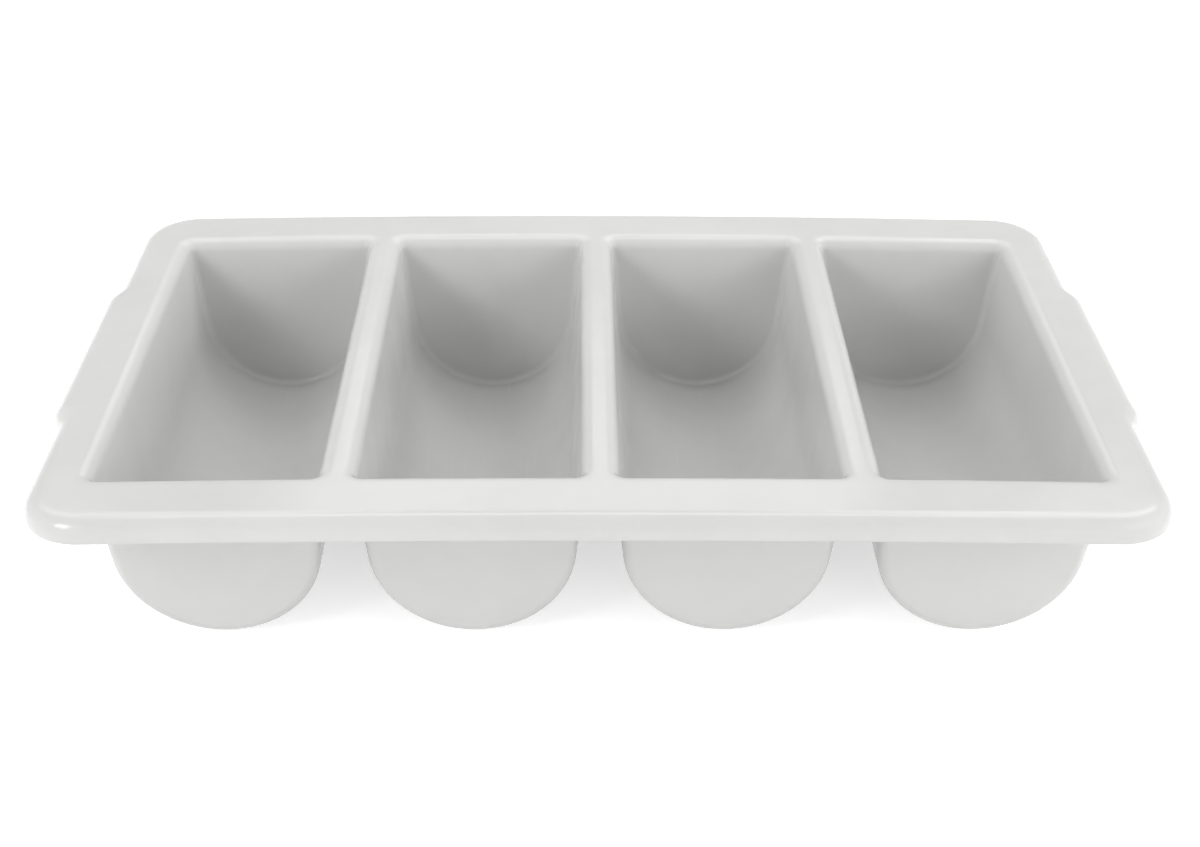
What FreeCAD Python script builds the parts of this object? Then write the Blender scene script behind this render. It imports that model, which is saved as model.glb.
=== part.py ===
import FreeCAD, Part
import math
import os

import Sketcher

# Driving sizes: name, value in millimetres, degrees or a count, and what it is
COMPARTMENTS = 4
SIZES = (
    ("compartment_count", COMPARTMENTS, "compartments side by side"),
    ("opening_width", 106.0, "compartment width between its side walls, at the deck"),
    ("opening_length", 248.0, "compartment length between its end walls, at the deck"),
    ("divider_width", 16.7, "wall to wall across the deck strip between two compartments"),
    ("end_margin", 27.95, "deck from an outer compartment to the rim's short side"),
    ("front_margin", 38.5, "deck from a compartment's end to the rim's long side"),
    ("overall_height", 97.0, "underside of the compartments to the top of the deck"),
    ("wall_thickness", 2.5, "wall of the moulding"),
    ("side_draft", 6.0, "lean of the side walls from upright"),
    ("end_draft", 3.0, "lean of the end walls from upright"),
    ("end_blend", 3.5, "inside radius where an end wall meets the channel"),
    ("opening_roll", 7.0, "radius where the deck rolls down into a compartment"),
    ("edge_roll", 9.0, "radius where the deck rolls down into the skirt"),
    ("skirt_height", 12.0, "top of the deck to the lower edge of the skirt"),
    ("rim_corner", 30.0, "radius of the rim's corners, seen from above"),
    ("grip_reach", 5.0, "how far a grip stands out of the rim's short side"),
    ("grip_length", 120.0, "straight part of a grip"),
    ("grip_shoulder", 12.0, "length over which a grip swells out of the rim"),
    ("grip_blend", 12.0, "radius of the bends at a grip's shoulders"),
    ("seam_gap", 1.0, "distance of a region's seam from the nearest curved surface"),
)

# Sizes worked out from the driving ones
DERIVED = (
    ("pitch", "Sizes.opening_width + Sizes.divider_width"),
    ("rim_length", "Sizes.compartment_count * Derived.pitch - Sizes.divider_width + 2 * Sizes.end_margin"),
    ("rim_width", "Sizes.opening_length + 2 * Sizes.front_margin"),
    ("side_wall_across", "Sizes.wall_thickness / cos(Sizes.side_draft)"),
    ("end_wall_across", "Sizes.wall_thickness / cos(Sizes.end_draft)"),
    ("channel_radius", "(Sizes.opening_width / 2 * cos(Sizes.side_draft)"
     " - (Sizes.overall_height - Sizes.wall_thickness) * sin(Sizes.side_draft))"
     " / (1 - sin(Sizes.side_draft))"),
    ("channel_centre", "Sizes.wall_thickness + Derived.channel_radius"),
    ("deck_underside", "Sizes.overall_height - Sizes.wall_thickness"),
    ("skirt_bottom", "Sizes.overall_height - Sizes.skirt_height"),
    ("seam_height", "Sizes.overall_height - Sizes.opening_roll - Sizes.seam_gap"),
    ("seam_y", "Sizes.opening_length / 2 - Sizes.end_blend - Sizes.seam_gap"),
    ("grip_base", "Sizes.grip_length / 2 + Sizes.grip_shoulder"),
    ("grip_slope", "atan(Sizes.grip_reach / Sizes.grip_shoulder)"),
    ("grip_seam_x", "Derived.rim_length / 2 - Sizes.edge_roll - Sizes.seam_gap"),
    ("grip_seam_y", "Derived.grip_base + Sizes.grip_blend * tan(Derived.grip_slope / 2) + Sizes.seam_gap"),
    ("trough_zone_x", "Sizes.opening_width + Derived.side_wall_across + Sizes.divider_width / 2"),
    ("trough_zone_y", "Sizes.opening_length + Derived.end_wall_across + Sizes.front_margin"),
)

# How far a cutting form runs past the surface that it opens
OVERSHOOT = 2.0

# Points closer than this are taken as one
TOLERANCE = 0.01

# Share by which the regions may miss the volume of the whole moulding
VOLUME_TOLERANCE = 0.001

doc = FreeCAD.newDocument("cutlery_tray")


def make_sheet():
    sheet = doc.addObject("Spreadsheet::Sheet", "Sizes")
    for row, (alias, value, meaning) in enumerate(SIZES, start=1):
        sheet.set("A%d" % row, meaning)
        sheet.set("B%d" % row, str(value))
        sheet.setAlias("B%d" % row, alias)
    doc.recompute()
    return sheet


def make_derived():
    derived = doc.addObject("App::VarSet", "Derived")
    for name, formula in DERIVED:
        derived.addProperty("App::PropertyFloat", name)
        derived.setExpression(name, formula)
        doc.recompute()
    return derived


sizes = make_sheet()
derived = make_derived()


def bind(item, bindings):
    """Tie properties of an object to formulas in the sheet's words."""
    for name, formula in bindings.items():
        item.setExpression(name, formula)


def origin_plane(body, role):
    return [item for item in body.Origin.OriginFeatures if item.Role == role][0]


def new_sketch(body, name, role):
    sketch = body.newObject("Sketcher::SketchObject", name)
    sketch.AttachmentSupport = [(origin_plane(body, role), "")]
    sketch.MapMode = "FlatFace"
    return sketch


def close_loop(sketch, pieces):
    """Join the end of each line to the start of the next."""
    for index, piece in enumerate(pieces):
        following = pieces[(index + 1) % len(pieces)]
        sketch.addConstraint(Sketcher.Constraint("Coincident", piece, 2, following, 1))


def add_lines(sketch, corners):
    """Closed run of straight lines through the corners, in order."""
    lines = []
    for index, start in enumerate(corners):
        end = corners[(index + 1) % len(corners)]
        segment = Part.LineSegment(FreeCAD.Vector(start[0], start[1], 0), FreeCAD.Vector(end[0], end[1], 0))
        lines.append(sketch.addGeometry(segment, False))
    close_loop(sketch, lines)
    return lines


def dimension(sketch, name, constraint, formula):
    index = sketch.addConstraint(constraint)
    sketch.renameConstraint(index, name)
    sketch.setExpression("Constraints." + name, formula)


def fillet(body, base, name, edges, radius_formula):
    """Round the named edges of a feature by a radius from the sheet."""
    feature = body.newObject("PartDesign::Fillet", name)
    feature.Base = (base, edges)
    feature.Radius = TOLERANCE
    feature.setExpression("Radius", radius_formula)
    doc.recompute()
    return feature


def edge_names(shape, keep):
    return ["Edge%d" % number for number, edge in enumerate(shape.Edges, start=1) if keep(edge)]


def edge_middle(edge):
    return edge.valueAt((edge.FirstParameter + edge.LastParameter) / 2)


def edge_points(edge):
    """Both ends and the middle of an edge."""
    return [vertex.Point for vertex in edge.Vertexes] + [edge_middle(edge)]


# Solid form of the rim: the rolled deck with a swollen grip at each short side
def rim_form(name, inset, bottom, top, roll):
    body = doc.addObject("PartDesign::Body", name)
    length = "(Derived.rim_length - 2 * (%s))" % inset
    width = "(Derived.rim_width - 2 * (%s))" % inset
    corner = "(Sizes.rim_corner - (%s))" % inset
    half_x = derived.rim_length / 2
    half_y = derived.rim_width / 2

    outline = new_sketch(body, name + "_outline", "XY_Plane")
    bind(outline, {"AttachmentOffset.Base.z": bottom})
    lines = add_lines(outline, [(-half_x, -half_y), (half_x, -half_y), (half_x, half_y), (-half_x, half_y)])
    for index, word in enumerate(("Horizontal", "Vertical", "Horizontal", "Vertical")):
        outline.addConstraint(Sketcher.Constraint(word, lines[index]))
    outline.addConstraint(Sketcher.Constraint("Symmetric", lines[0], 1, lines[2], 1, -1, 1))
    dimension(outline, "length", Sketcher.Constraint("DistanceX", lines[0], 1, lines[0], 2, 2 * half_x),
              length)
    dimension(outline, "width", Sketcher.Constraint("DistanceY", lines[1], 1, lines[1], 2, 2 * half_y),
              width)

    plate = body.newObject("PartDesign::Pad", name + "_plate")
    plate.Profile = outline
    bind(plate, {"Length": "(%s) - (%s)" % (top, bottom)})
    doc.recompute()

    upright = edge_names(plate.Shape, lambda edge: abs(edge.tangentAt(edge.FirstParameter).z) > 1 - TOLERANCE)
    corners = fillet(body, plate, name + "_corners", upright, corner)

    # One trapezium from grip to grip swells both short sides
    base_y = derived.grip_base
    flat_y = sizes.grip_length / 2
    reach_x = half_x + sizes.grip_reach
    swell = new_sketch(body, name + "_swell", "XY_Plane")
    bind(swell, {"AttachmentOffset.Base.z": bottom})
    ring = [(-half_x, -base_y), (half_x, -base_y), (reach_x, -flat_y), (reach_x, flat_y),
            (half_x, base_y), (-half_x, base_y), (-reach_x, flat_y), (-reach_x, -flat_y)]
    sides = add_lines(swell, ring)
    shift = "(%s) * tan(Derived.grip_slope / 2)" % inset
    for front, rear in ((1, 4), (2, 3), (0, 5), (7, 6)):
        swell.addConstraint(Sketcher.Constraint("Symmetric", sides[front], 1, sides[rear], 1, -1))
    for left, right in ((0, 1), (7, 2)):
        swell.addConstraint(Sketcher.Constraint("Symmetric", sides[left], 1, sides[right], 1, -2))
    dimension(swell, "base_x", Sketcher.Constraint("DistanceX", sides[0], 1, sides[0], 2, 2 * half_x), length)
    dimension(swell, "base_y", Sketcher.Constraint("DistanceY", sides[1], 1, sides[3], 2, 2 * base_y),
              "2 * (Derived.grip_base - %s)" % shift)
    dimension(swell, "flat_y", Sketcher.Constraint("DistanceY", sides[2], 1, sides[2], 2, 2 * flat_y),
              "Sizes.grip_length - 2 * %s" % shift)
    dimension(swell, "reach_x", Sketcher.Constraint("DistanceX", sides[7], 1, sides[2], 1, 2 * reach_x),
              "%s + 2 * Sizes.grip_reach" % length)
    swollen = body.newObject("PartDesign::Pad", name + "_grips")
    swollen.Profile = swell
    bind(swollen, {"Length": "(%s) - (%s)" % (top, bottom)})
    doc.recompute()

    corner_start = half_y - sizes.rim_corner
    shoulders = edge_names(swollen.Shape, lambda edge: (
        abs(edge.tangentAt(edge.FirstParameter).z) > 1 - TOLERANCE
        and abs(edge_middle(edge).y) < min(corner_start, base_y) + TOLERANCE))
    blended = fillet(body, swollen, name + "_shoulders", shoulders, "Sizes.grip_blend")

    rolled = blended
    if roll:
        height = max(vertex.Z for vertex in blended.Shape.Vertexes)
        upper = edge_names(blended.Shape, lambda edge: (
            min(point.z for point in edge_points(edge)) > height - TOLERANCE))
        rolled = fillet(body, blended, name + "_roll", upper, roll)
    body.Tip = rolled
    doc.recompute()
    return body


# Solid form of one compartment: a channel with leaning side walls and end walls
def trough_form(name, index, inset, top, over, end_radius):
    body = doc.addObject("PartDesign::Body", name)
    across = "(%s) * Derived.side_wall_across" % inset
    along = "(%s) * Derived.end_wall_across" % inset
    rise = "((%s) + (%s) - Sizes.overall_height)" % (top, over)
    radius = derived.channel_radius
    centre = derived.channel_centre
    height = sizes.overall_height
    half_top = sizes.opening_width / 2
    tangent_x = radius * math.cos(math.radians(sizes.side_draft))
    tangent_z = centre - radius * math.sin(math.radians(sizes.side_draft))

    section = new_sketch(body, name + "_section", "XZ_Plane")
    left = section.addGeometry(Part.LineSegment(
        FreeCAD.Vector(-half_top, height, 0), FreeCAD.Vector(-tangent_x, tangent_z, 0)), False)
    circle = Part.Circle(FreeCAD.Vector(0, centre, 0), FreeCAD.Vector(0, 0, 1), radius)
    start = math.pi + math.radians(sizes.side_draft)
    floor = section.addGeometry(Part.ArcOfCircle(circle, start, 3 * math.pi - start), False)
    right = section.addGeometry(Part.LineSegment(
        FreeCAD.Vector(tangent_x, tangent_z, 0), FreeCAD.Vector(half_top, height, 0)), False)
    lid = section.addGeometry(Part.LineSegment(
        FreeCAD.Vector(half_top, height, 0), FreeCAD.Vector(-half_top, height, 0)), False)
    section.addConstraint(Sketcher.Constraint("Tangent", left, 2, floor, 1))
    section.addConstraint(Sketcher.Constraint("Tangent", floor, 2, right, 1))
    section.addConstraint(Sketcher.Constraint("Coincident", right, 2, lid, 1))
    section.addConstraint(Sketcher.Constraint("Coincident", lid, 2, left, 1))
    section.addConstraint(Sketcher.Constraint("Symmetric", lid, 1, lid, 2, -2))
    section.addConstraint(Sketcher.Constraint("PointOnObject", floor, 3, -2))
    dimension(section, "width", Sketcher.Constraint("DistanceX", lid, 2, lid, 1, 2 * half_top),
              "Sizes.opening_width + 2 * %s + 2 * %s * tan(Sizes.side_draft)" % (across, rise))
    dimension(section, "top", Sketcher.Constraint("DistanceY", -1, 1, lid, 1, height),
              "(%s) + (%s)" % (top, over))
    dimension(section, "centre", Sketcher.Constraint("DistanceY", -1, 1, floor, 3, centre),
              "Derived.channel_centre")
    dimension(section, "radius", Sketcher.Constraint("Radius", floor, radius),
              "Derived.channel_radius + (%s) * Sizes.wall_thickness" % inset)

    channel = body.newObject("PartDesign::Pad", name + "_channel")
    channel.Profile = section
    channel.SideType = "Symmetric"
    bind(channel, {"Length": "Sizes.opening_length + 2 * %s + 4 * %s * tan(Sizes.end_draft)" % (along, over)})
    doc.recompute()

    # Cut both ends back to their lean
    lean_y = math.tan(math.radians(sizes.end_draft))
    half_end = sizes.opening_length / 2
    far = sizes.opening_length
    ends = new_sketch(body, name + "_ends", "YZ_Plane")
    for side in (-1, 1):
        low = side * (half_end - height * lean_y)
        near = side * half_end
        lines = add_lines(ends, [(low, 0), (near, height), (side * far, height), (side * far, 0)])
        ends.addConstraint(Sketcher.Constraint("Horizontal", lines[1]))
        ends.addConstraint(Sketcher.Constraint("Vertical", lines[2]))
        ends.addConstraint(Sketcher.Constraint("Horizontal", lines[3]))
        word = "front" if side < 0 else "rear"
        run = [(-1, 1, lines[0], 1), (-1, 1, lines[0], 2), (-1, 1, lines[1], 2)]
        if side < 0:
            run = [(lines[0], 1, -1, 1), (lines[0], 2, -1, 1), (lines[1], 2, -1, 1)]
        outer_end = "Sizes.opening_length / 2 + %s" % along
        foot = "%s - (Sizes.overall_height + %s) * tan(Sizes.end_draft)" % (outer_end, over)
        head = "%s + %s * tan(Sizes.end_draft)" % (outer_end, rise)
        dimension(ends, word + "_foot", Sketcher.Constraint("DistanceX", *run[0], abs(low)), foot)
        dimension(ends, word + "_head", Sketcher.Constraint("DistanceX", *run[1], abs(near)), head)
        dimension(ends, word + "_far", Sketcher.Constraint("DistanceX", *run[2], far), "Sizes.opening_length")
        dimension(ends, word + "_low", Sketcher.Constraint("DistanceY", lines[0], 1, -1, 1, OVERSHOOT), over)
        dimension(ends, word + "_high", Sketcher.Constraint("DistanceY", -1, 1, lines[0], 2, height),
                  "(%s) + (%s)" % (top, over))
    before = channel.Shape.Volume
    leaning = body.newObject("PartDesign::Pocket", name + "_lean")
    leaning.Profile = ends
    leaning.SideType = "Symmetric"
    bind(leaning, {"Length": "2 * Sizes.opening_width"})
    doc.recompute()
    if leaning.Shape.Volume > before - TOLERANCE:
        raise RuntimeError("the ends of %s were not cut" % name)

    highest = max(vertex.Z for vertex in leaning.Shape.Vertexes)
    lowest_end = sizes.opening_length / 2 - (height + OVERSHOOT) * lean_y

    def on_end(edge):
        points = edge_points(edge)
        beyond = min(abs(point.y) for point in points) > lowest_end - TOLERANCE
        return beyond and edge_middle(edge).z < highest - TOLERANCE

    ends_round = fillet(body, leaning, name + "_blend", edge_names(leaning.Shape, on_end), end_radius)
    body.Tip = ends_round
    place = "(%d - (Sizes.compartment_count - 1) / 2) * Derived.pitch" % index
    bind(body, {"Placement.Base.x": place})
    doc.recompute()
    return body


def boolean(kind, name, base, tool):
    item = doc.addObject(kind, name)
    item.Base = base
    item.Tool = tool
    doc.recompute()
    return item


def join(name, items):
    item = doc.addObject("Part::MultiFuse", name)
    item.Shapes = items
    doc.recompute()
    return item


def block(name, low, high):
    """Box between two corners, each written as three formulas."""
    item = doc.addObject("Part::Box", name)
    names = (("Length", "x"), ("Width", "y"), ("Height", "z"))
    for (extent, letter), start, end in zip(names, low, high):
        bind(item, {"Placement.Base." + letter: start, extent: "(%s) - (%s)" % (end, start)})
    doc.recompute()
    return item


def inner_loop_edges(shape, height):
    """Edges round the holes of the widest flat face at a height."""
    flat = [face for face in shape.Faces if face.BoundBox.ZLength < TOLERANCE
            and abs(face.BoundBox.ZMin - height) < TOLERANCE]
    widest = max(flat, key=lambda face: face.Area)
    loops = [wire for wire in widest.Wires if not wire.isSame(widest.OuterWire)]
    wanted = [edge for wire in loops for edge in wire.Edges]
    return edge_names(shape, lambda edge: any(edge.isSame(other) for other in wanted))


# The whole tray in one wall thickness, before its seams
def make_moulding():
    shell = rim_form("rim_shell", "0", "Derived.skirt_bottom", "Sizes.overall_height", "Sizes.edge_roll")
    hollow = rim_form("rim_hollow", "Sizes.wall_thickness", "Derived.skirt_bottom - %s" % OVERSHOOT,
                      "Derived.deck_underside", "Sizes.edge_roll - Sizes.wall_thickness")
    deck = boolean("Part::Cut", "deck_and_skirt", shell, hollow)
    outsides = []
    insides = []
    for index in range(COMPARTMENTS):
        outsides.append(trough_form("trough_outside_%d" % (index + 1), index, "1", "Derived.deck_underside",
                                    "Sizes.wall_thickness / 2", "Sizes.end_blend + Sizes.wall_thickness"))
        insides.append(trough_form("trough_inside_%d" % (index + 1), index, "0", "Sizes.overall_height",
                                   str(OVERSHOOT), "Sizes.end_blend"))
    solid = join("tray_solid", [deck] + outsides)
    opened = boolean("Part::Cut", "tray_open", solid, join("trough_insides", insides))

    body = doc.addObject("PartDesign::Body", "moulding")
    body.BaseFeature = opened
    doc.recompute()
    base = body.Tip
    rolled = fillet(body, base, "opening_rolls", inner_loop_edges(base.Shape, sizes.overall_height),
                    "Sizes.opening_roll")
    under = fillet(body, rolled, "underside_rolls", inner_loop_edges(rolled.Shape, derived.deck_underside),
                   "Sizes.opening_roll - Sizes.wall_thickness")
    body.Tip = under
    doc.recompute()
    return body


# The regions of the tray, cut along its seams
def make_regions(moulding):
    nodes = []
    side = "(Derived.rim_length / 2 + Sizes.grip_reach + %s)" % OVERSHOOT
    front = "(Derived.rim_width / 2 + %s)" % OVERSHOOT
    below = "-%s" % OVERSHOOT
    above = "Sizes.overall_height + %s" % OVERSHOOT

    zones = []
    for index in range(COMPARTMENTS):
        centre = "((%d - (Sizes.compartment_count - 1) / 2) * Derived.pitch)" % index
        low = (centre + " - Derived.trough_zone_x / 2", "-Derived.trough_zone_y / 2", below)
        high = (centre + " + Derived.trough_zone_x / 2", "Derived.trough_zone_y / 2", "Derived.seam_height")
        zone = block("trough_zone_%d" % (index + 1), low, high)
        zones.append(zone)
        nodes.append(boolean("Part::Common", "compartment_%d" % (index + 1), moulding, zone))
    deck = boolean("Part::Cut", "deck", moulding, join("trough_zones", zones))

    front_zone = block("front_zone", ("-" + side, "-" + front, below), (side, "-Derived.seam_y", above))
    nodes.append(boolean("Part::Common", "front_rim", deck, front_zone))
    rear_zone = block("rear_zone", ("-" + side, "Derived.seam_y", below), (side, front, above))
    nodes.append(boolean("Part::Common", "rear_rim", deck, rear_zone))

    for index in range(COMPARTMENTS - 1):
        centre = "((%d + 1 - Sizes.compartment_count / 2) * Derived.pitch)" % index
        low = (centre + " - Derived.pitch / 2", "-Derived.seam_y", below)
        high = (centre + " + Derived.pitch / 2", "Derived.seam_y", above)
        zone = block("divider_zone_%d" % (index + 1), low, high)
        nodes.append(boolean("Part::Common", "divider_%d" % (index + 1), deck, zone))

    outer_middle = "((Sizes.compartment_count - 1) / 2 * Derived.pitch)"
    for word, inner_x, outer_x, seam_x in (
            ("left", "-" + outer_middle, "-" + side, "-Derived.grip_seam_x"),
            ("right", outer_middle, side, "Derived.grip_seam_x")):
        near, far = (outer_x, inner_x) if word == "left" else (inner_x, outer_x)
        zone = block(word + "_zone", (near, "-Derived.seam_y", below), (far, "Derived.seam_y", above))
        strip = boolean("Part::Common", word + "_side", deck, zone)
        near, far = (outer_x, seam_x) if word == "left" else (seam_x, outer_x)
        zone = block(word + "_grip_zone", (near, "-Derived.grip_seam_y", below),
                     (far, "Derived.grip_seam_y", above))
        nodes.append(boolean("Part::Cut", word + "_rim", strip, zone))
        nodes.append(boolean("Part::Common", word + "_grip", strip, zone))
    return nodes


def check_document():
    for item in doc.Objects:
        for word in ("Invalid", "Error"):
            if word in item.State:
                raise RuntimeError("%s is %s" % (item.Label, word))


def check_nodes(nodes, moulding):
    """Every region is one valid solid, and together they make up the whole moulding."""
    total = 0.0
    for node in nodes:
        shape = node.Shape
        if shape.isNull() or not shape.isValid() or len(shape.Solids) != 1:
            raise RuntimeError("%s is not one valid solid" % node.Label)
        total += shape.Volume
        print("%-16s %9.1f mm3" % (node.Label, shape.Volume))
    whole = moulding.Shape.Volume
    print("moulding %.1f mm3, regions %.1f mm3" % (whole, total))
    if abs(total - whole) > whole * VOLUME_TOLERANCE:
        raise RuntimeError("the regions do not add up to the moulding")


moulding = make_moulding()
regions = make_regions(moulding)
check_document()
check_nodes(regions, moulding)
os.makedirs("parts", exist_ok=True)
for region in regions:
    region.Shape.exportStep("parts/%s.step" % region.Label)
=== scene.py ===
import math

import bpy
import numpy as np
from mathutils import Matrix, Vector


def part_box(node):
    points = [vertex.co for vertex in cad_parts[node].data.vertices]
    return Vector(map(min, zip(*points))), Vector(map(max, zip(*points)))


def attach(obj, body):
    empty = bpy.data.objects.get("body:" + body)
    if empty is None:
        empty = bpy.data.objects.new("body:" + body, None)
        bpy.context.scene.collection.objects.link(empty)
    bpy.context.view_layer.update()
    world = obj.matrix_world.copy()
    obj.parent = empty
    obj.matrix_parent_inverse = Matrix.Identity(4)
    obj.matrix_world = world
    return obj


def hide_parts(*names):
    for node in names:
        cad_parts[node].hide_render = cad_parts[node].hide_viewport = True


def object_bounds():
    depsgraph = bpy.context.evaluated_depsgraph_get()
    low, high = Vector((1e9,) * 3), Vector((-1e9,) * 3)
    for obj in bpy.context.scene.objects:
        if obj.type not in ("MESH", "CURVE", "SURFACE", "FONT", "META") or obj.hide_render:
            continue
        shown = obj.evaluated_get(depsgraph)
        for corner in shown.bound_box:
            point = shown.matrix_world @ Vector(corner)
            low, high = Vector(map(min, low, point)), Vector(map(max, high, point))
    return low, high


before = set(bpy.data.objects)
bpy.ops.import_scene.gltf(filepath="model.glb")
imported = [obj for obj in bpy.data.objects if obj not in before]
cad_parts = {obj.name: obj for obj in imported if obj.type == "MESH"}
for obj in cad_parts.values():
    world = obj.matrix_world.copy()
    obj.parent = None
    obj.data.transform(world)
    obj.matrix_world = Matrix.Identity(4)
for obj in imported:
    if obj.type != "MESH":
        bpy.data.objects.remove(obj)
cad_low, cad_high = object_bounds()

MM = 0.001
UP = np.array([0.0, 0.0, 1.0])

# Sizes of the moulding, as in the CAD source
WALL = 2.5 * MM
OPENING_WIDTH = 106.0 * MM
OPENING_LENGTH = 248.0 * MM
SIDE_DRAFT = math.radians(6.0)
END_DRAFT = math.radians(3.0)
END_BLEND = 3.5 * MM
OPENING_ROLL = 7.0 * MM
EDGE_ROLL = 9.0 * MM
RIM_CORNER = 30.0 * MM
GRIP_LENGTH = 120.0 * MM
GRIP_SHOULDER = 12.0 * MM
GRIP_BLEND = 12.0 * MM

# Finer shape that only shows in the looks
DECK_BOW = 3.1 * MM
LIP_ROUND = 0.8 * MM
SURFACE_WAVE = 0.10 * MM
WAVE_LENGTH = 70.0 * MM
WAVE_FADE = 8.0 * MM
WAVE_DIRECTIONS = ((1.0, 0.31, 0.44), (-0.43, 1.0, 0.27), (0.29, -0.52, 1.0), (0.83, 0.76, -0.38))
WAVE_FINER = 0.37
WAVE_OFFSET = 1.7

# Mesh density, in faces
ROLL_FACES = 8
EDGE_FACES = 10
CORNER_FACES = 16
END_FACES = 16
WALL_FACES = 6
CHANNEL_SIDE_FACES = 8
SKIRT_FACES = 1
LIP_FACES = 3
GRIP_FACES = 9
BEND_FACES = 4
SHOULDER_FACES = 3
SIDE_FACES = 6
RING_FACES = 2
RIM_FACES = 3

# Points closer than this are one, on a grid shifted off the round sizes
MERGE = 0.0005 * MM
GRID_SHIFT = 0.123

COMPARTMENTS = [name for name in sorted(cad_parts) if name.startswith("compartment_")]

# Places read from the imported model
HEIGHT = cad_high.z
COMPARTMENT_X = [sum(corner.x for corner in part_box(name)) / 2 for name in COMPARTMENTS]
PITCH = (COMPARTMENT_X[-1] - COMPARTMENT_X[0]) / (len(COMPARTMENTS) - 1)
RIM_HALF_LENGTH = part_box("front_rim")[1].x
RIM_HALF_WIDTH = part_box("rear_rim")[1].y
SKIRT_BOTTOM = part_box("front_rim")[0].z
GRIP_REACH = cad_high.x - RIM_HALF_LENGTH
SEAM_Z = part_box("compartment_1")[1].z
SEAM_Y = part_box("divider_1")[1].y
GRIP_SEAM_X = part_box("right_grip")[0].x
GRIP_SEAM_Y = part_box("right_grip")[1].y

# Inside of one compartment, centred on x 0: its walls' normals, pointing inwards, and round bottom
SIDE_NORMAL = np.array([-math.cos(SIDE_DRAFT), 0.0, math.sin(SIDE_DRAFT)])
END_NORMAL = np.array([0.0, -math.cos(END_DRAFT), math.sin(END_DRAFT)])
SIDE_PLANE = SIDE_NORMAL @ np.array([OPENING_WIDTH / 2, 0.0, HEIGHT])
END_PLANE = END_NORMAL @ np.array([0.0, OPENING_LENGTH / 2, HEIGHT])
CHANNEL_RADIUS = ((OPENING_WIDTH / 2 * math.cos(SIDE_DRAFT) - (HEIGHT - WALL) * math.sin(SIDE_DRAFT))
                  / (1 - math.sin(SIDE_DRAFT)))
CHANNEL_Z = WALL + CHANNEL_RADIUS
ROLL_Z = HEIGHT - OPENING_ROLL


def turn_between(start, end, share):
    """Unit vectors that turn from start to end, for shares from 0 to 1."""
    start = np.asarray(start, float)
    end = np.asarray(end, float)
    angle = np.arccos(np.clip((start * end).sum(-1, keepdims=True), -1, 1))
    share = np.asarray(share, float)
    return (np.sin((1 - share) * angle) * start + np.sin(share * angle) * end) / np.sin(angle)


def steps(count):
    return np.linspace(0.0, 1.0, count + 1)


def runs(*stops):
    """Positions from stop to stop, each stop given as its value and the faces that lead to it."""
    values = [stops[0][0]]
    for (start, _), (end, faces) in zip(stops, stops[1:]):
        values.extend(start + (end - start) * steps(faces)[1:])
    return np.array(values)


def side_plane_x(z):
    """Place of a compartment's side wall at a height."""
    return (SIDE_NORMAL[2] * z - SIDE_PLANE) / -SIDE_NORMAL[0]


def end_ball_y(z):
    """Centre of a ball that rolls along an end wall inside a compartment, at a height."""
    return (END_NORMAL[2] * z - END_PLANE - END_BLEND) / -END_NORMAL[1]


def corner_ball(z):
    """Centre of a ball that touches a side wall and an end wall, at a height."""
    z = np.asarray(z, float)
    x = (SIDE_NORMAL[2] * z - SIDE_PLANE - END_BLEND) / -SIDE_NORMAL[0]
    return np.stack([x, end_ball_y(z), z], -1)


CORNER_SHARES = steps(CORNER_FACES)[:, None]
CORNER_NORMALS = turn_between(SIDE_NORMAL, END_NORMAL, CORNER_SHARES)

# Lines across the tray, where the seams and the ends of the grips' bends are
SLOPE = math.atan(GRIP_REACH / GRIP_SHOULDER)
BEND_TANGENT = GRIP_BLEND * math.tan(SLOPE / 2)
BEND_REACH = GRIP_BLEND * math.sin(SLOPE)
BEND_OUT = GRIP_LENGTH / 2 + GRIP_SHOULDER + BEND_TANGENT
BEND_IN = GRIP_LENGTH / 2 - BEND_TANGENT
SIDE_END = float(corner_ball(ROLL_Z + (OPENING_ROLL + END_BLEND) * SIDE_NORMAL[2])[1])
HALF_LINES = runs((0.0, 0), (BEND_IN, GRIP_FACES), (BEND_IN + BEND_REACH, BEND_FACES),
                  (BEND_OUT - BEND_REACH, SHOULDER_FACES), (BEND_OUT, BEND_FACES),
                  (GRIP_SEAM_Y, 1), (SEAM_Y, SIDE_FACES), (SIDE_END, 1))
LINES_Y = np.concatenate([-HALF_LINES[:0:-1], HALF_LINES])
END_HALF = float(corner_ball(ROLL_Z + (OPENING_ROLL + END_BLEND) * END_NORMAL[2])[0])
LINES_X = np.linspace(-END_HALF, END_HALF, END_FACES + 1)


def quad_corners(grid):
    """The four corners of each face of a grid."""
    return np.stack([grid[:-1, :-1], grid[1:, :-1], grid[1:, 1:], grid[:-1, 1:]], 2)


def coinciding(points):
    """The first of each set of points that coincide, and for every point the number of its set."""
    keys = np.floor(points / MERGE + GRID_SHIFT).astype(np.int64)
    _, first, place = np.unique(keys, axis=0, return_index=True, return_inverse=True)
    return first, place.reshape(-1)


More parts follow.
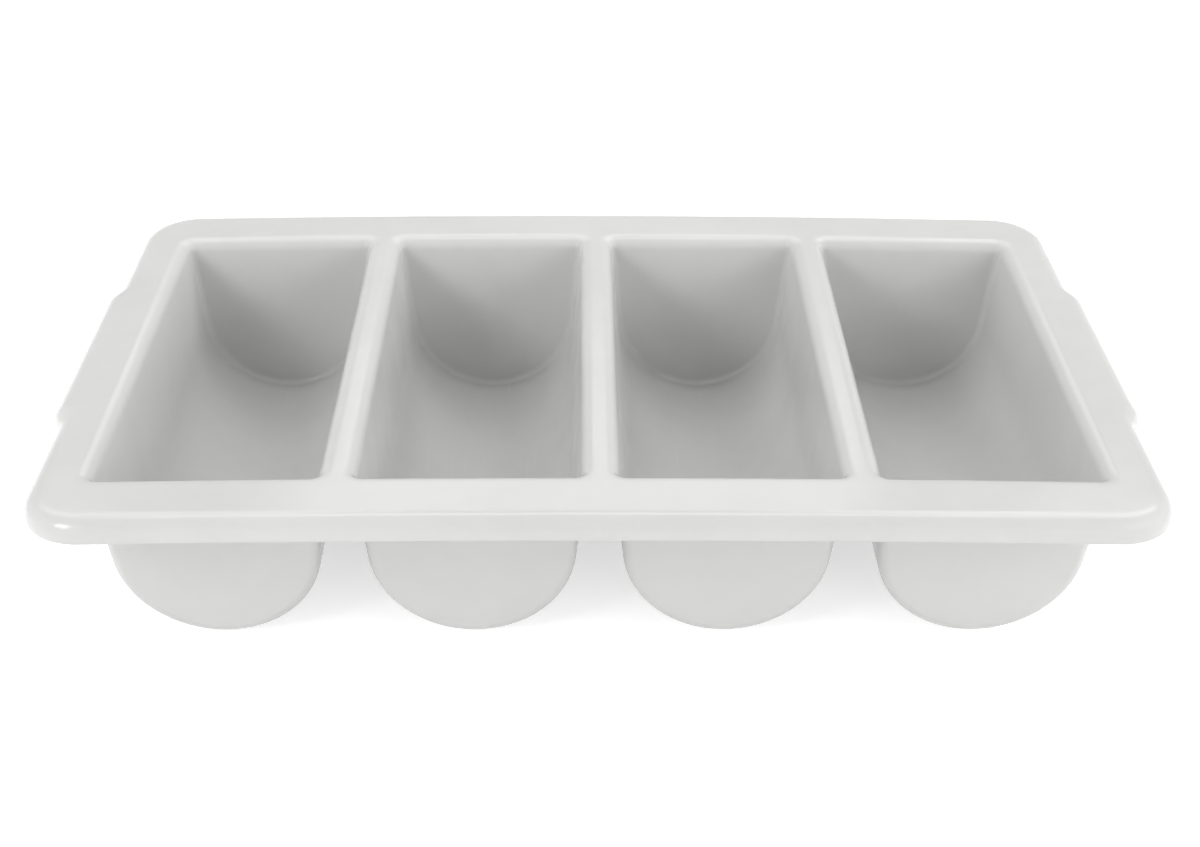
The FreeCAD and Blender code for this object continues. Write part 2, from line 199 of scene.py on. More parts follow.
class Sheet:
    """Patches of the moulding's surface: points with outward normals, and faces with regions."""

    def __init__(self):
        self.points = []
        self.normals = []
        self.faces = []
        self.regions = []

    def patch(self, points, normals, region):
        """Add a grid of faces. region gives each face's region from its middle."""
        rows, columns = points.shape[:2]
        first = sum(len(block) for block in self.points)
        self.points.append(points.reshape(-1, 3))
        normals = np.broadcast_to(normals, points.shape)
        self.normals.append(normals.reshape(-1, 3))
        quads = quad_corners(first + np.arange(rows * columns).reshape(rows, columns)).reshape(-1, 4)
        corners = quad_corners(points).reshape(-1, 4, 3)
        facing = np.cross(corners[:, 2] - corners[:, 0], corners[:, 3] - corners[:, 1])
        wanted = normals[:-1, :-1].reshape(-1, 3)
        turned = (facing * wanted).sum(-1) < 0
        quads[turned] = quads[turned][:, ::-1]
        self.faces.append(quads)
        self.regions.extend(region(middle) for middle in corners.mean(1))

    def merged(self):
        """Points, normals and faces with the patches' shared points made one."""
        points = np.concatenate(self.points)
        normals = np.concatenate(self.normals)
        first, place = coinciding(points)
        return points[first], normals[first], place[np.concatenate(self.faces)]


def deck_region(middle):
    """Name of the deck's region at a place."""
    x, y, _ = middle
    side = "right" if x > 0 else "left"
    if abs(y) > SEAM_Y:
        return "rear_rim" if y > 0 else "front_rim"
    if abs(x) > COMPARTMENT_X[-1]:
        grip = abs(x) > GRIP_SEAM_X and abs(y) < GRIP_SEAM_Y
        return side + ("_grip" if grip else "_rim")
    return "divider_%d" % (1 + int((x - COMPARTMENT_X[0]) // PITCH))


def mirrored(points, signs):
    return points * np.array(signs)


def line_at(*coordinates):
    """Points from coordinates of which some are the same all along."""
    return np.stack(np.broadcast_arrays(*coordinates), -1)


def half_profile():
    """A compartment's cross-section, from the top of its right wall to the middle of its floor."""
    wall_top = ROLL_Z + OPENING_ROLL * SIDE_NORMAL[2]
    tangent_z = CHANNEL_Z - CHANNEL_RADIUS * SIDE_NORMAL[2]
    heights = runs((wall_top, 0), (SEAM_Z, 1), (tangent_z, WALL_FACES))
    walls = line_at(side_plane_x(heights), 0.0, heights)
    normals = np.broadcast_to(SIDE_NORMAL, walls.shape)
    faces = CHANNEL_SIDE_FACES + END_FACES // 2
    angles = (math.pi / 2 - SIDE_DRAFT) * (1 - steps(faces)[1:])
    inward = line_at(-np.sin(angles), 0.0, np.cos(angles))
    floor = np.array([0.0, 0.0, CHANNEL_Z]) - CHANNEL_RADIUS * inward
    return np.concatenate([walls, floor]), np.concatenate([normals, inward])


PROFILE, PROFILE_NORMALS = half_profile()
PROFILE_BALLS = PROFILE + END_BLEND * PROFILE_NORMALS
PROFILE_ENDS = end_ball_y(PROFILE_BALLS[:, 2])


def blend_rows():
    """Rows of the round between a compartment's walls or floor and its rear end wall, right half."""
    rows = []
    for index, (ball, normal) in enumerate(zip(PROFILE_BALLS, PROFILE_NORMALS)):
        directions = turn_between(normal, END_NORMAL, CORNER_SHARES)
        centre = np.array([ball[0], PROFILE_ENDS[index], ball[2]])
        if index == 0:
            centre = corner_ball(ROLL_Z + (OPENING_ROLL + END_BLEND) * directions[:, 2])
        if index == 1:
            centre = corner_ball(SEAM_Z + END_BLEND * directions[:, 2])
        rows.append((centre - END_BLEND * directions, directions))
    return np.array([row[0] for row in rows]), np.array([row[1] for row in rows])


def end_wall(blend):
    """Grid over a compartment's flat rear end wall, from the edge of the blend round it."""
    edge = blend[:, -1]
    corner = 1 + WALL_FACES + CHANNEL_SIDE_FACES
    right = edge[1:corner + 1]
    bottom_half = edge[corner:]
    bottom = np.concatenate([bottom_half, mirrored(bottom_half[-2::-1], (-1, 1, 1))])
    left = mirrored(right, (-1, 1, 1))
    across = ((1 - LINES_X[::-1] / END_HALF) / 2)[:, None]
    top = right[0] * (1 - across) + left[0] * across
    lengths = np.concatenate([[0.0], np.cumsum(np.linalg.norm(np.diff(right, axis=0), axis=1))])
    down = (lengths / lengths[-1])[:, None, None]
    across = across[None, :, :]
    ruled = (1 - down) * top[None] + down * bottom[None]
    sides = (1 - across) * right[:, None] + across * left[:, None]
    corners = ((1 - down) * ((1 - across) * right[0] + across * left[0])
               + down * ((1 - across) * right[-1] + across * left[-1]))
    grid = ruled + sides - corners
    head = edge[0]
    strip = head * (1 - across[0]) + mirrored(head, (-1, 1, 1)) * across[0]
    return np.stack([strip, grid[0]]), grid


def opening_loop():
    """Centres of the roll round an opening and the walls' normals there, once round."""
    side_roll = OPENING_ROLL + END_BLEND
    side_x = side_plane_x(ROLL_Z + OPENING_ROLL * SIDE_NORMAL[2]) - OPENING_ROLL * SIDE_NORMAL[0]
    side = line_at(side_x, LINES_Y, ROLL_Z)
    corner = corner_ball(ROLL_Z + side_roll * CORNER_NORMALS[:, 2]) - side_roll * CORNER_NORMALS
    rear = line_at(LINES_X[::-1], corner[-1, 1], ROLL_Z)
    centres = []
    normals = []

    def add(points, directions):
        centres.append(points[:-1])
        normals.append(np.broadcast_to(directions, points.shape)[:-1])

    for signs in ((1, 1, 1), (-1, -1, 1)):
        add(mirrored(side, signs), mirrored(SIDE_NORMAL, signs))
        add(mirrored(corner, signs), mirrored(CORNER_NORMALS, signs))
        add(mirrored(rear, signs), mirrored(END_NORMAL, signs))
        flipped = (-signs[0], signs[1], 1)
        add(mirrored(corner[::-1], flipped), mirrored(CORNER_NORMALS[::-1], flipped))
    centres = np.concatenate(centres)
    normals = np.concatenate(normals)
    return np.concatenate([centres, centres[:1]]), np.concatenate([normals, normals[:1]])


CELL_HALF_X = PITCH / 2
OPENING_CENTRES, OPENING_NORMALS = opening_loop()
CELL_HALF_Y = OPENING_CENTRES[:, 1].max() + CELL_HALF_X - OPENING_CENTRES[:, 0].max()


def cell_quarter():
    """Points on a cell's border that the stations of one corner lead to, from the side to the end."""
    shares = steps(CORNER_FACES // 2)
    up_side = line_at(CELL_HALF_X, SIDE_END + (CELL_HALF_Y - SIDE_END) * shares)
    along_end = line_at(CELL_HALF_X + (END_HALF - CELL_HALF_X) * shares, CELL_HALF_Y)
    return np.concatenate([up_side, along_end[1:]])


def cell_loop():
    """The cell's border, station by station as opening_loop has them, as x and y."""
    side = line_at(CELL_HALF_X, LINES_Y)
    corner = cell_quarter()
    rear = line_at(LINES_X[::-1], CELL_HALF_Y)
    border = []
    for signs in ((1, 1), (-1, -1)):
        flipped = (-signs[0], signs[1])
        border.append(mirrored(side, signs)[:-1])
        border.append(mirrored(corner, signs)[:-1])
        border.append(mirrored(rear, signs)[:-1])
        border.append(mirrored(corner[::-1], flipped)[:-1])
    border = np.concatenate(border)
    return np.concatenate([border, border[:1]])


def raised(plan, z):
    """Points in plan given a height."""
    return np.concatenate([plan, np.full(plan.shape[:-1] + (1,), z)], -1)


def add_compartment(sheet, name, x):
    """Walls, floor, ends, roll and surrounding strip of deck of one compartment."""
    shift = np.array([x, 0.0, 0.0])

    def inside(_):
        return name

    # The channel: walls and floor between the two end blends
    share_y = LINES_Y / SIDE_END
    for side in (1, -1):
        signs = (side, 1, 1)
        grid = np.stack([line_at(point[0], share_y * reach, point[2])
                         for point, reach in zip(PROFILE, PROFILE_ENDS)])
        normals = np.broadcast_to(PROFILE_NORMALS[:, None], grid.shape)
        sheet.patch(mirrored(grid[:2], signs) + shift, mirrored(normals[:2], signs), deck_region)
        sheet.patch(mirrored(grid[1:], signs) + shift, mirrored(normals[1:], signs), inside)
    # Both ends: the blend round each, then the flat wall
    blend, directions = blend_rows()
    strip, wall = end_wall(blend)
    for end in (1, -1):
        for side in (1, -1):
            signs = (side, end, 1)
            sheet.patch(mirrored(blend[:2], signs) + shift, mirrored(directions[:2], signs),
                        deck_region)
            sheet.patch(mirrored(blend[1:], signs) + shift, mirrored(directions[1:], signs), inside)
        signs = (1, end, 1)
        sheet.patch(mirrored(strip, signs) + shift, mirrored(END_NORMAL, signs), deck_region)
        sheet.patch(mirrored(wall, signs) + shift, mirrored(END_NORMAL, signs), inside)
    # The roll from the walls up to the deck, and the deck round it
    shares = steps(ROLL_FACES)[:, None, None]
    normals = turn_between(OPENING_NORMALS[None], UP, shares)
    sheet.patch(OPENING_CENTRES[None] + OPENING_ROLL * normals + shift, normals, deck_region)
    inner = OPENING_CENTRES + OPENING_ROLL * UP
    outer = raised(cell_loop(), HEIGHT)
    shares = steps(RING_FACES)[:, None, None]
    sheet.patch(inner[None] * (1 - shares) + outer[None] * shares + shift, UP, deck_region)


def grip_swell(y):
    """How far the grip stands out of the rim at a place along it, and the outline's lean there."""
    distance = abs(y)
    reach = GRIP_REACH
    lean = 0.0
    if distance > BEND_IN:
        turn = math.asin(min((distance - BEND_IN) / GRIP_BLEND, math.sin(SLOPE)))
        reach -= GRIP_BLEND * (1 - math.cos(turn))
        lean = turn
    if distance > BEND_IN + BEND_REACH:
        straight = min(distance, BEND_OUT - BEND_REACH) - BEND_IN - BEND_REACH
        reach -= straight * math.tan(SLOPE)
    if distance > BEND_OUT - BEND_REACH:
        turn = math.asin(max((BEND_OUT - distance) / GRIP_BLEND, 0.0))
        reach = GRIP_BLEND * (1 - math.cos(turn))
        lean = turn
    if distance >= BEND_OUT:
        reach = 0.0
        lean = 0.0
    return reach, math.copysign(lean, y)


def quarter_outline():
    """The rim's outline without the grips, round its rear right corner from the cell's side."""
    straight_side = RIM_HALF_WIDTH - RIM_CORNER - SIDE_END
    straight_end = RIM_HALF_LENGTH - RIM_CORNER - COMPARTMENT_X[-1] - END_HALF
    arc = RIM_CORNER * math.pi / 2
    distances = (straight_side + arc + straight_end) * steps(CORNER_FACES)
    angles = np.clip((distances - straight_side) / RIM_CORNER, 0.0, math.pi / 2)
    normals = np.stack([np.cos(angles), np.sin(angles)], -1)
    centre = np.array([RIM_HALF_LENGTH - RIM_CORNER, RIM_HALF_WIDTH - RIM_CORNER])
    points = centre + RIM_CORNER * normals
    points[:, 1] += np.minimum(distances - straight_side, 0.0)
    points[:, 0] -= np.maximum(distances - straight_side - arc, 0.0)
    return points, normals


def rim_loop():
    """Stations once round the rim: the cells' common border, then place and outward direction on
    the plain outline, then the same on the outline with grips."""
    rows = []
    side_x = COMPARTMENT_X[-1] + CELL_HALF_X
    for y in LINES_Y[:-1]:
        reach, lean = grip_swell(y)
        rows.append(((side_x, y), (RIM_HALF_LENGTH, y), (1.0, 0.0),
                     (RIM_HALF_LENGTH + reach, y), (math.cos(lean), math.sin(lean))))
    quarter, directions = quarter_outline()
    borders = cell_quarter() + np.array([COMPARTMENT_X[-1], 0.0])
    for border, point, direction in list(zip(borders, quarter, directions))[:-1]:
        rows.append((border, point, direction, point, direction))
    rear = []
    for index in range(len(COMPARTMENT_X) - 1, -1, -1):
        centre = np.array([COMPARTMENT_X[index], 0.0])
        pieces = [line_at(LINES_X[::-1], CELL_HALF_Y)[:-1] + centre]
        if index:
            along_end = cell_quarter()[CORNER_FACES // 2:]
            leaving = mirrored(along_end[::-1], (-1, 1))
            arriving = along_end - np.array([PITCH, 0.0])
            pieces += [leaving[:-1] + centre, arriving[:-1] + centre]
        rear.extend(np.concatenate(pieces))
    for border in rear:
        point = (border[0], RIM_HALF_WIDTH)
        rows.append((border, point, (0.0, 1.0), point, (0.0, 1.0)))
    far = list(zip(borders[::-1], quarter[::-1], directions[::-1]))[:-1]
    flip = np.array([-1.0, 1.0])
    for border, point, direction in far:
        rows.append((border * flip, point * flip, direction * flip, point * flip, direction * flip))
    half_turn = np.array(rows, float)
    loop = np.concatenate([half_turn, -half_turn])
    return np.concatenate([loop, loop[:1]])


def add_rim(sheet):
    """The deck outside the cells, the rolled edge, and the skirt down to its lip."""
    loop = rim_loop()
    border, plain, plain_out, outline, out = (loop[:, column] for column in range(5))
    seam = plain - (RIM_HALF_LENGTH - GRIP_SEAM_X) * plain_out
    top = outline - EDGE_ROLL * out
    shares = steps(RIM_FACES)[:, None, None]
    deck = np.concatenate([border[None] * (1 - shares) + seam[None] * shares, top[None]])
    sheet.patch(raised(deck, HEIGHT), UP, deck_region)
    sideways = raised(out, 0.0)
    normals = turn_between(UP, sideways[None], steps(EDGE_FACES)[:, None, None])
    centres = raised(top, HEIGHT - EDGE_ROLL)
    sheet.patch(centres[None] + EDGE_ROLL * normals, normals, deck_region)
    heights = np.linspace(HEIGHT - EDGE_ROLL, SKIRT_BOTTOM + LIP_ROUND, SKIRT_FACES + 1)
    skirt = np.stack([raised(outline, z) for z in heights])
    sheet.patch(skirt, np.broadcast_to(sideways[None], skirt.shape), deck_region)
    return outline, sideways


def lip_rows(outline, sideways):
    """Rows round the skirt's lower edge, from its outside to its inside."""
    down = np.broadcast_to(-UP, sideways.shape)
    turns = steps(LIP_FACES)[:, None, None]
    outer = raised(outline, SKIRT_BOTTOM + LIP_ROUND) - LIP_ROUND * sideways
    inner = raised(outline, SKIRT_BOTTOM + LIP_ROUND) - (WALL - LIP_ROUND) * sideways
    rising = turn_between(sideways[None], down[None], turns)
    falling = turn_between(down[None], -sideways[None], turns)
    points = np.concatenate([outer[None] + LIP_ROUND * rising, inner[None] + LIP_ROUND * falling])
    return points, np.concatenate([rising, falling])


def lip_caps(rows, beside, first):
    """Faces that close the lip on both sides of each seam. beside has the regions between columns."""
    columns = rows.shape[1]
    index = first + np.arange(len(rows) * columns).reshape(len(rows), columns)
    caps = []
    for column in range(1, columns - 1):
        before, after = beside[column - 1:column + 1]
        if before == after:
            continue
        onward = rows[0, column + 1] - rows[0, column - 1]
        for low in range(LIP_FACES):
            ring = [low, low + 1, len(rows) - 2 - low, len(rows) - 1 - low]
            corners = rows[ring, column]
            facing = np.cross(corners[2] - corners[0], corners[3] - corners[1]) @ onward
            face = tuple(index[ring if facing > 0 else ring[::-1], column])
            caps.append((face, before))
            caps.append((face[::-1], after))
    return caps


def smooth_noise(points):
    """Gentle swells and hollows from 0 to 1, from a few crossed waves."""
    total = np.zeros(len(points))
    for number, direction in enumerate(WAVE_DIRECTIONS):
        phase = points @ np.array(direction) * (2 * math.pi / WAVE_LENGTH) * (1 + WAVE_FINER * number)
        total += np.sin(phase + WAVE_OFFSET * number)
    return 0.5 + total / (2 * len(WAVE_DIRECTIONS))


def bend(points, normals):
    """Bow the deck down towards both ends and sink the surface by slight waves."""
    rising = np.clip(points[:, 2] / WAVE_FADE, 0.0, 1.0)
    moved = points - (SURFACE_WAVE * rising * smooth_noise(points))[:, None] * normals
    drop = DECK_BOW * (points[:, 0] / RIM_HALF_LENGTH) ** 2
    moved[:, 2] -= drop * np.clip(points[:, 2] / HEIGHT, 0.0, 1.0)
    moved[:, 2] = np.maximum(moved[:, 2], cad_low.z)
    return moved


def build_shell():
    """The closed moulding: points, faces, the faces' regions, and caps along the seams."""
    sheet = Sheet()
    for name, x in zip(COMPARTMENTS, COMPARTMENT_X):
        add_compartment(sheet, name, x)
    outline, sideways = add_rim(sheet)
    points, normals, faces = sheet.merged()
    regions = list(sheet.regions)
    count = len(points)
    lip = Sheet()
    rows, directions = lip_rows(outline, sideways)
    lip.patch(rows, directions, deck_region)
    upper = bend(points, normals)
    under = bend(points - WALL * normals, normals)
    lip_points = bend(np.concatenate(lip.points), np.tile(sideways, (len(rows), 1)))
    seams = {}
    for number, face in enumerate(faces):
        for start, end in zip(face, np.roll(face, -1)):
            seams.setdefault((min(start, end), max(start, end)), []).append((number, start, end))
    caps = []
    for uses in seams.values():
        if len(uses) == 2 and regions[uses[0][0]] != regions[uses[1][0]]:
            for number, start, end in uses:
                caps.append(((end, start, start + count, end + count), regions[number]))
    caps += lip_caps(rows, lip.regions, 2 * count)
    shell_faces = [tuple(face) for face in faces] + [tuple(face[::-1] + count) for face in faces]
    shell_regions = regions + regions
    lip_faces = [tuple(face + 2 * count) for face in lip.faces[0]]
    everything = np.concatenate([upper, under, lip_points])
    return everything, shell_faces + lip_faces, shell_regions + list(lip.regions), caps


def mesh_of(name, points, faces):
    mesh = bpy.data.meshes.new(name)
    mesh.from_pydata([tuple(point) for point in points], [], faces)
    mesh.update()
    return mesh


def weld(points, faces):
    """Make points that coincide one, all over the shell."""
    first, place = coinciding(points)
    return points[first], [[int(place[corner]) for corner in face] for face in faces]


def make_piece(node, points, normals, faces, caps, look):
    """One region of the moulding as a closed piece, shaded as one surface with its neighbours."""
    used = sorted({corner for face in faces + caps for corner in face})
    place = {corner: number for number, corner in enumerate(used)}
    own_faces = [[place[corner] for corner in face] for face in faces + caps]
    mesh = mesh_of(node + "_shell", points[used], own_faces)
    mesh.polygons.foreach_set("use_smooth", [True] * len(faces) + [False] * len(caps))
    corner_normals = [tuple(normals[corner]) for face in faces for corner in face]
    for polygon in mesh.polygons[len(faces):]:
        corner_normals.extend([tuple(polygon.normal)] * polygon.loop_total)
    mesh.normals_split_custom_set(corner_normals)
    mesh.materials.append(look)
    piece = bpy.data.objects.new(node + "_shell", mesh)
    bpy.context.scene.collection.objects.link(piece)
    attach(piece, "root")
    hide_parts(node)


def make_tray(look):
    """The whole tray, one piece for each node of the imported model."""
    points, faces, regions, caps = build_shell()
    points, welded = weld(points, faces + [cap for cap, _ in caps])
    shell = welded[:len(faces)]
    whole = mesh_of("whole", points, shell)
    normals = np.empty(len(points) * 3, np.float32)
    whole.vertex_normals.foreach_get("vector", normals)
    normals = normals.reshape(-1, 3)
    bpy.data.meshes.remove(whole)
    for node in sorted(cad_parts):
        own = [face for face, region in zip(shell, regions) if region == node]
        own_caps = [face for face, (_, region) in zip(welded[len(faces):], caps) if region == node]
        make_piece(node, points, normals, own, own_caps, look)


class Nodes:
    """Short calls for the nodes of one material."""

    def __init__(self, material):
        material.use_nodes = True
        self.tree = material.node_tree
        self.tree.nodes.clear()

    def put(self, value, socket):
        """Link a value that comes from a node to a socket, or set it there."""
        if isinstance(value, bpy.types.NodeSocket):
            self.tree.links.new(value, socket)
        else:
            socket.default_value = value

    def add(self, kind, inputs=None, **settings):
        node = self.tree.nodes.new(kind)
        for name, value in settings.items():
            setattr(node, name, value)
        for name, value in (inputs or {}).items():
            self.put(value, node.inputs[name])
        return node

    def noise(self, place, size, detail):
        """Noise whose features are about size metres wide."""
        inputs = {"Vector": place, "Scale": 1 / size, "Detail": detail}
        return self.add("ShaderNodeTexNoise", inputs).outputs["Fac"]

    def stretched(self, place, across, along):
        """Coordinates for streaks that run front to back: across and along are their sizes in metres."""
        scale = (1 / across, 1 / along, 1 / across)
        return self.add("ShaderNodeMapping", {"Vector": place, "Scale": scale}).outputs["Vector"]

    def ramp(self, value, low, high, to_low=0.0, to_high=1.0):
        """value from low to high, as a smooth change between two other numbers."""
        inputs = {"Value": value, "From Min": low, "From Max": high, "To Min": to_low, "To Max": to_high}
        return self.add("ShaderNodeMapRange", inputs, interpolation_type="SMOOTHSTEP").outputs["Result"]

    def math(self, operation, first, second=0.0):
        node = self.add("ShaderNodeMath", operation=operation)
        self.put(first, node.inputs[0])
        self.put(second, node.inputs[1])
        return node.outputs["Value"]

    def mix(self, factor, first, second):
        """A colour between two others."""
        node = self.add("ShaderNodeMix", {"Factor": factor}, data_type="RGBA")
        self.put(first, node.inputs["A"])
        self.put(second, node.inputs["B"])
        return node.outputs["Result"]

    def seen(self):
        """1 for what the camera sees straight, in a reflection or through glass, else 0."""
        path = self.add("ShaderNodeLightPath").outputs
        mirrored_or_clear = self.math("MAXIMUM", path["Is Glossy Ray"], path["Is Transmission Ray"])
        return self.math("MAXIMUM", path["Is Camera Ray"], mirrored_or_clear)

    def bump(self, height, distance, below=None):
        inputs = {"Height": height, "Distance": distance, "Strength": 1.0}
        if below:
            inputs["Normal"] = below
        return self.add("ShaderNodeBump", inputs).outputs["Normal"]


# Colours of the moulded plastic
GREY = (0.718, 0.718, 0.710, 1.0)
GREY_DEEP = (0.692, 0.693, 0.685, 1.0)
WORN_PALE = (0.78, 0.78, 0.77, 1.0)

# Noises of its surface: the width of their features, and their detail
CLOUDS = (90 * MM, 3.0)
MOTTLE = (14 * MM, 4.0)
PATCHES = (45 * MM, 2.0)
SPOTS = (5 * MM, 5.0)
HAZE = (30 * MM, 3.0)
SWELLS = (28 * MM, 1.0)

# Slow changes of tone: shares of the two noises, and the range of their sum that the greys span
CLOUD_SHARE = 0.7
MOTTLE_SHARE = 0.3
TONE_RANGE = (0.35, 0.65)

# Slide marks of cutlery, strongest on the floors
STREAK_WIDTH = 1.4 * MM
STREAK_LENGTH = 70 * MM
STREAK_RANGE = (0.60, 0.72)
PATCH_RANGE = (0.45, 0.62)
MARKS_END = 45 * MM
MARKS_FULL = 12 * MM
MARKS_SHARE = 0.25

# Scuffs on the rolled outer edge
EDGE_WIDTH = 6 * MM
EDGE_ON_GRIP = 1 * MM
SPOT_RANGE = (0.56, 0.70)
SCUFFS_SHARE = 0.12

# Roughness from the glossiest to the dullest places, and what wear adds
HAZE_RANGE = (0.3, 0.7)
GLOSSIEST = 0.17
DULLEST = 0.22
WORN_DULLER = 0.25
REFRACTION = 1.5

# Relief of the surface
SWELL_HEIGHT = 0.10 * MM
MARK_DEPTH = 0.004 * MM


def plastic():
    """Semi-gloss light grey plastic: moulding waves, faint slide marks and slightly worn outer edges."""
    material = bpy.data.materials.new("grey_plastic_look")
    nodes = Nodes(material)
    place = nodes.add("ShaderNodeTexCoord").outputs["Object"]
    parts = nodes.add("ShaderNodeSeparateXYZ", {"Vector": place})
    x, y, z = (parts.outputs[letter] for letter in "XYZ")
    # Slow changes of tone, as flowing plastic leaves them
    clouds = nodes.math("MULTIPLY", nodes.noise(place, *CLOUDS), CLOUD_SHARE)
    mottle = nodes.math("MULTIPLY", nodes.noise(place, *MOTTLE), MOTTLE_SHARE)
    colour = nodes.mix(nodes.ramp(nodes.math("ADD", clouds, mottle), *TONE_RANGE), GREY_DEEP, GREY)
    # Slide marks of cutlery along the floors of the compartments
    lengthwise = nodes.stretched(place, STREAK_WIDTH, STREAK_LENGTH)
    streaks = nodes.ramp(nodes.noise(lengthwise, 1.0, 2.0), *STREAK_RANGE)
    patches = nodes.ramp(nodes.noise(place, *PATCHES), *PATCH_RANGE)
    low = nodes.ramp(z, MARKS_END, MARKS_FULL)
    marks = nodes.math("MULTIPLY", nodes.math("MULTIPLY", streaks, patches), low)
    # Scuffs where hands and shelves rub the rolled outer edge
    edge_x = nodes.ramp(nodes.math("ABSOLUTE", x), RIM_HALF_LENGTH - EDGE_WIDTH,
                        RIM_HALF_LENGTH + EDGE_ON_GRIP)
    edge_y = nodes.ramp(nodes.math("ABSOLUTE", y), RIM_HALF_WIDTH - EDGE_WIDTH, RIM_HALF_WIDTH)
    spots = nodes.ramp(nodes.noise(place, *SPOTS), *SPOT_RANGE)
    scuffs = nodes.math("MULTIPLY", spots, nodes.math("MAXIMUM", edge_x, edge_y))
    worn = nodes.math("MAXIMUM", nodes.math("MULTIPLY", scuffs, SCUFFS_SHARE),
                      nodes.math("MULTIPLY", marks, MARKS_SHARE))
    # Gloss: a little uneven, duller where worn
    haze = nodes.ramp(nodes.noise(place, *HAZE), *HAZE_RANGE, GLOSSIEST, DULLEST)
    roughness = nodes.math("ADD", haze, nodes.math("MULTIPLY", worn, WORN_DULLER))
    # Relief: broad swells and the slide marks
    swells = nodes.bump(nodes.noise(place, *SWELLS), SWELL_HEIGHT)
    relief = nodes.bump(marks, -MARK_DEPTH, swells)
    shader = nodes.add("ShaderNodeBsdfPrincipled", {"Base Color": nodes.mix(worn, colour, WORN_PALE),
                                                    "Roughness": roughness, "Normal": relief,
                                                    "IOR": REFRACTION})
    nodes.add("ShaderNodeOutputMaterial", {"Surface": shader.outputs["BSDF"]})
    return material


# Camera, from a fit to the straight edges and outlines in the photograph; angles in radians
CAMERA_PLACE = Vector((-0.0101, -0.8165, 0.5511))
CAMERA_TILT = 0.553
CAMERA_TURN = 0.014
CAMERA_ROLL = 0.008
CAMERA_LENS = 53.52
SENSOR_WIDTH = 36.0


def make_camera():
    """The scene's camera, from its tilt down, its turn to the right and its roll."""
    data = bpy.data.cameras.new("camera")
    data.sensor_width = SENSOR_WIDTH
    data.lens = CAMERA_LENS
    camera = bpy.data.objects.new("camera", data)
    bpy.context.scene.collection.objects.link(camera)
    forward = Vector((math.sin(CAMERA_TURN) * math.cos(CAMERA_TILT),
                      math.cos(CAMERA_TURN) * math.cos(CAMERA_TILT),
                      -math.sin(CAMERA_TILT)))
    level = Vector((math.cos(CAMERA_TURN), -math.sin(CAMERA_TURN), 0.0))
    upright = level.cross(forward)
    across = level * math.cos(CAMERA_ROLL) + upright * math.sin(CAMERA_ROLL)
    above = upright * math.cos(CAMERA_ROLL) - level * math.sin(CAMERA_ROLL)
    axes = Matrix((across, above, -forward)).transposed()
    camera.matrix_world = Matrix.Translation(CAMERA_PLACE) @ axes.to_4x4()
    bpy.context.scene.camera = camera


# Soft lamps: name, direction round the tray and height in degrees, two sides in metres, power in watts
LAMP_DISTANCE = 2.0
# Lamps lower than this, in degrees, don't show in reflections, where they would turn the deck white
LOWEST_MIRRORED = 20
LAMPS = (
    ("overhead", 180, 82, 1.6, 0.4, 7.4),
    ("rear_middle", 180, 45, 1.0, 1.0, 4.9),
    ("rear_left", -135, 50, 1.0, 1.0, 5.8),
    ("rear_right", 135, 50, 1.0, 1.0, 8.4),
    ("front_left_low", -30, 12, 1.0, 1.0, 9.9),
    ("front_right_low", 30, 12, 1.0, 1.0, 11.1),
    ("front_left_high", -50, 35, 0.6, 0.6, 9.6),
    ("front_right_high", 50, 35, 1.0, 1.0, 4.1),
    ("left_low", -90, 12, 1.0, 1.0, 10.3),
    ("right_low", 90, 18, 1.8, 1.2, 18.0),
)


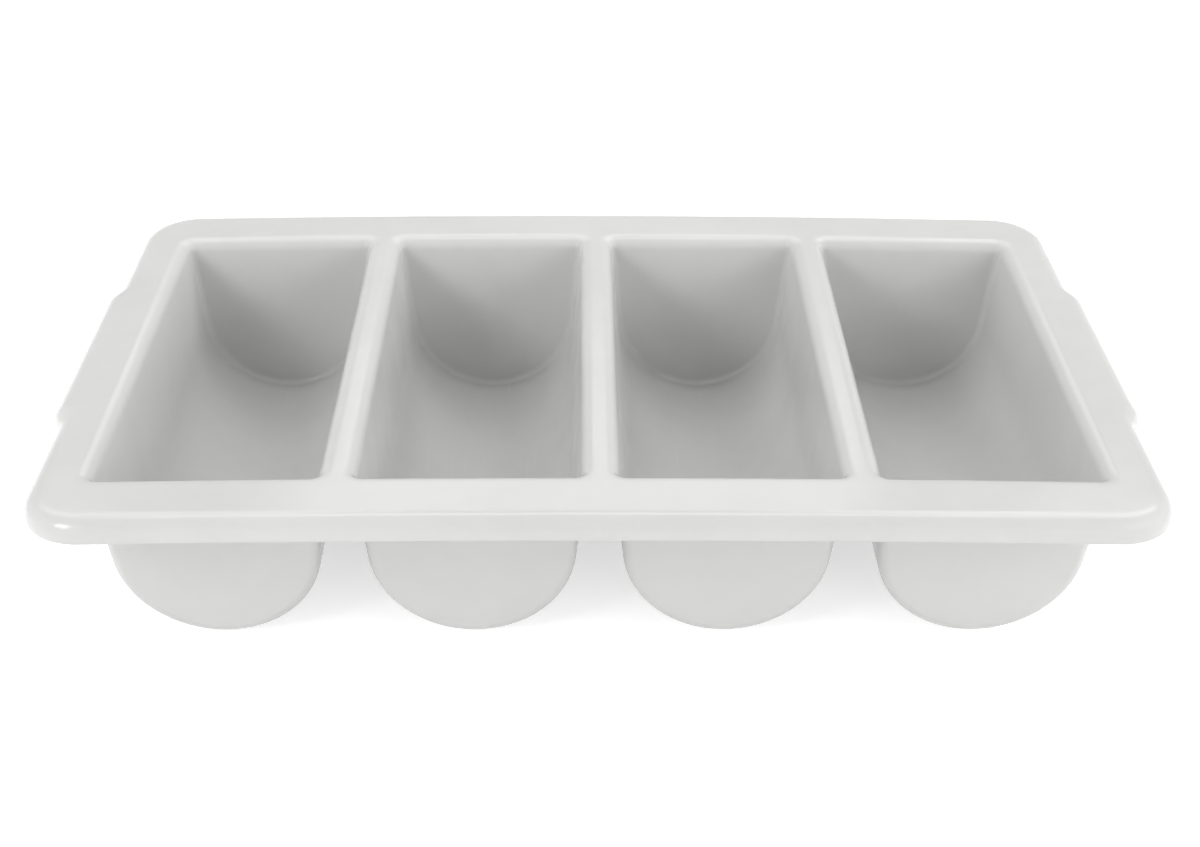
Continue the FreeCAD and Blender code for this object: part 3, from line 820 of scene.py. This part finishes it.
def make_lamps():
    """The soft lamps, all aimed at the middle of the tray's footprint."""
    for name, turn, height, width, length, power in LAMPS:
        turn = math.radians(turn)
        tilt = math.radians(height)
        towards = Vector((math.sin(turn) * math.cos(tilt), -math.cos(turn) * math.cos(tilt),
                          math.sin(tilt)))
        data = bpy.data.lights.new(name, "AREA")
        data.shape = "RECTANGLE"
        data.size = width
        data.size_y = length
        data.energy = power
        lamp = bpy.data.objects.new(name, data)
        bpy.context.scene.collection.objects.link(lamp)
        lamp.location = towards * LAMP_DISTANCE
        lamp.visible_glossy = height > LOWEST_MIRRORED
        lamp.rotation_euler = (-towards).to_track_quat("-Z", "Y").to_euler()


SKY_WHITE = (1.0, 1.0, 1.0, 1.0)


def make_world():
    """Sky that is plain white where it is seen and gives no light of its own."""
    world = bpy.data.worlds.new("studio")
    bpy.context.scene.world = world
    nodes = Nodes(world)
    background = nodes.add("ShaderNodeBackground", {"Color": SKY_WHITE, "Strength": nodes.seen()})
    nodes.add("ShaderNodeOutputWorld", {"Surface": background.outputs["Background"]})


# Floor: half its side, its colour, and the glow that lifts it to white where it is seen
FLOOR_HALF = 1.2
FLOOR_WHITE = (0.8, 0.8, 0.8, 1.0)
FLOOR_LIFT = 0.62


def make_floor():
    """Plain white floor that keeps the tray's soft shadow."""
    corners = [(-FLOOR_HALF, -FLOOR_HALF, 0), (FLOOR_HALF, -FLOOR_HALF, 0),
               (FLOOR_HALF, FLOOR_HALF, 0), (-FLOOR_HALF, FLOOR_HALF, 0)]
    mesh = mesh_of("floor", corners, [(0, 1, 2, 3)])
    floor = bpy.data.objects.new("floor", mesh)
    bpy.context.scene.collection.objects.link(floor)
    material = bpy.data.materials.new("floor_white")
    nodes = Nodes(material)
    matt = nodes.add("ShaderNodeBsdfDiffuse", {"Color": FLOOR_WHITE})
    lift_where_seen = nodes.math("MULTIPLY", nodes.seen(), FLOOR_LIFT)
    lift = nodes.add("ShaderNodeEmission", {"Strength": lift_where_seen})
    both = nodes.add("ShaderNodeAddShader")
    nodes.tree.links.new(matt.outputs["BSDF"], both.inputs[0])
    nodes.tree.links.new(lift.outputs["Emission"], both.inputs[1])
    nodes.add("ShaderNodeOutputMaterial", {"Surface": both.outputs["Shader"]})
    mesh.materials.append(material)


make_camera()
make_tray(plastic())
make_floor()
make_world()
make_lamps()
bpy.context.scene.view_settings.view_transform = "Standard"
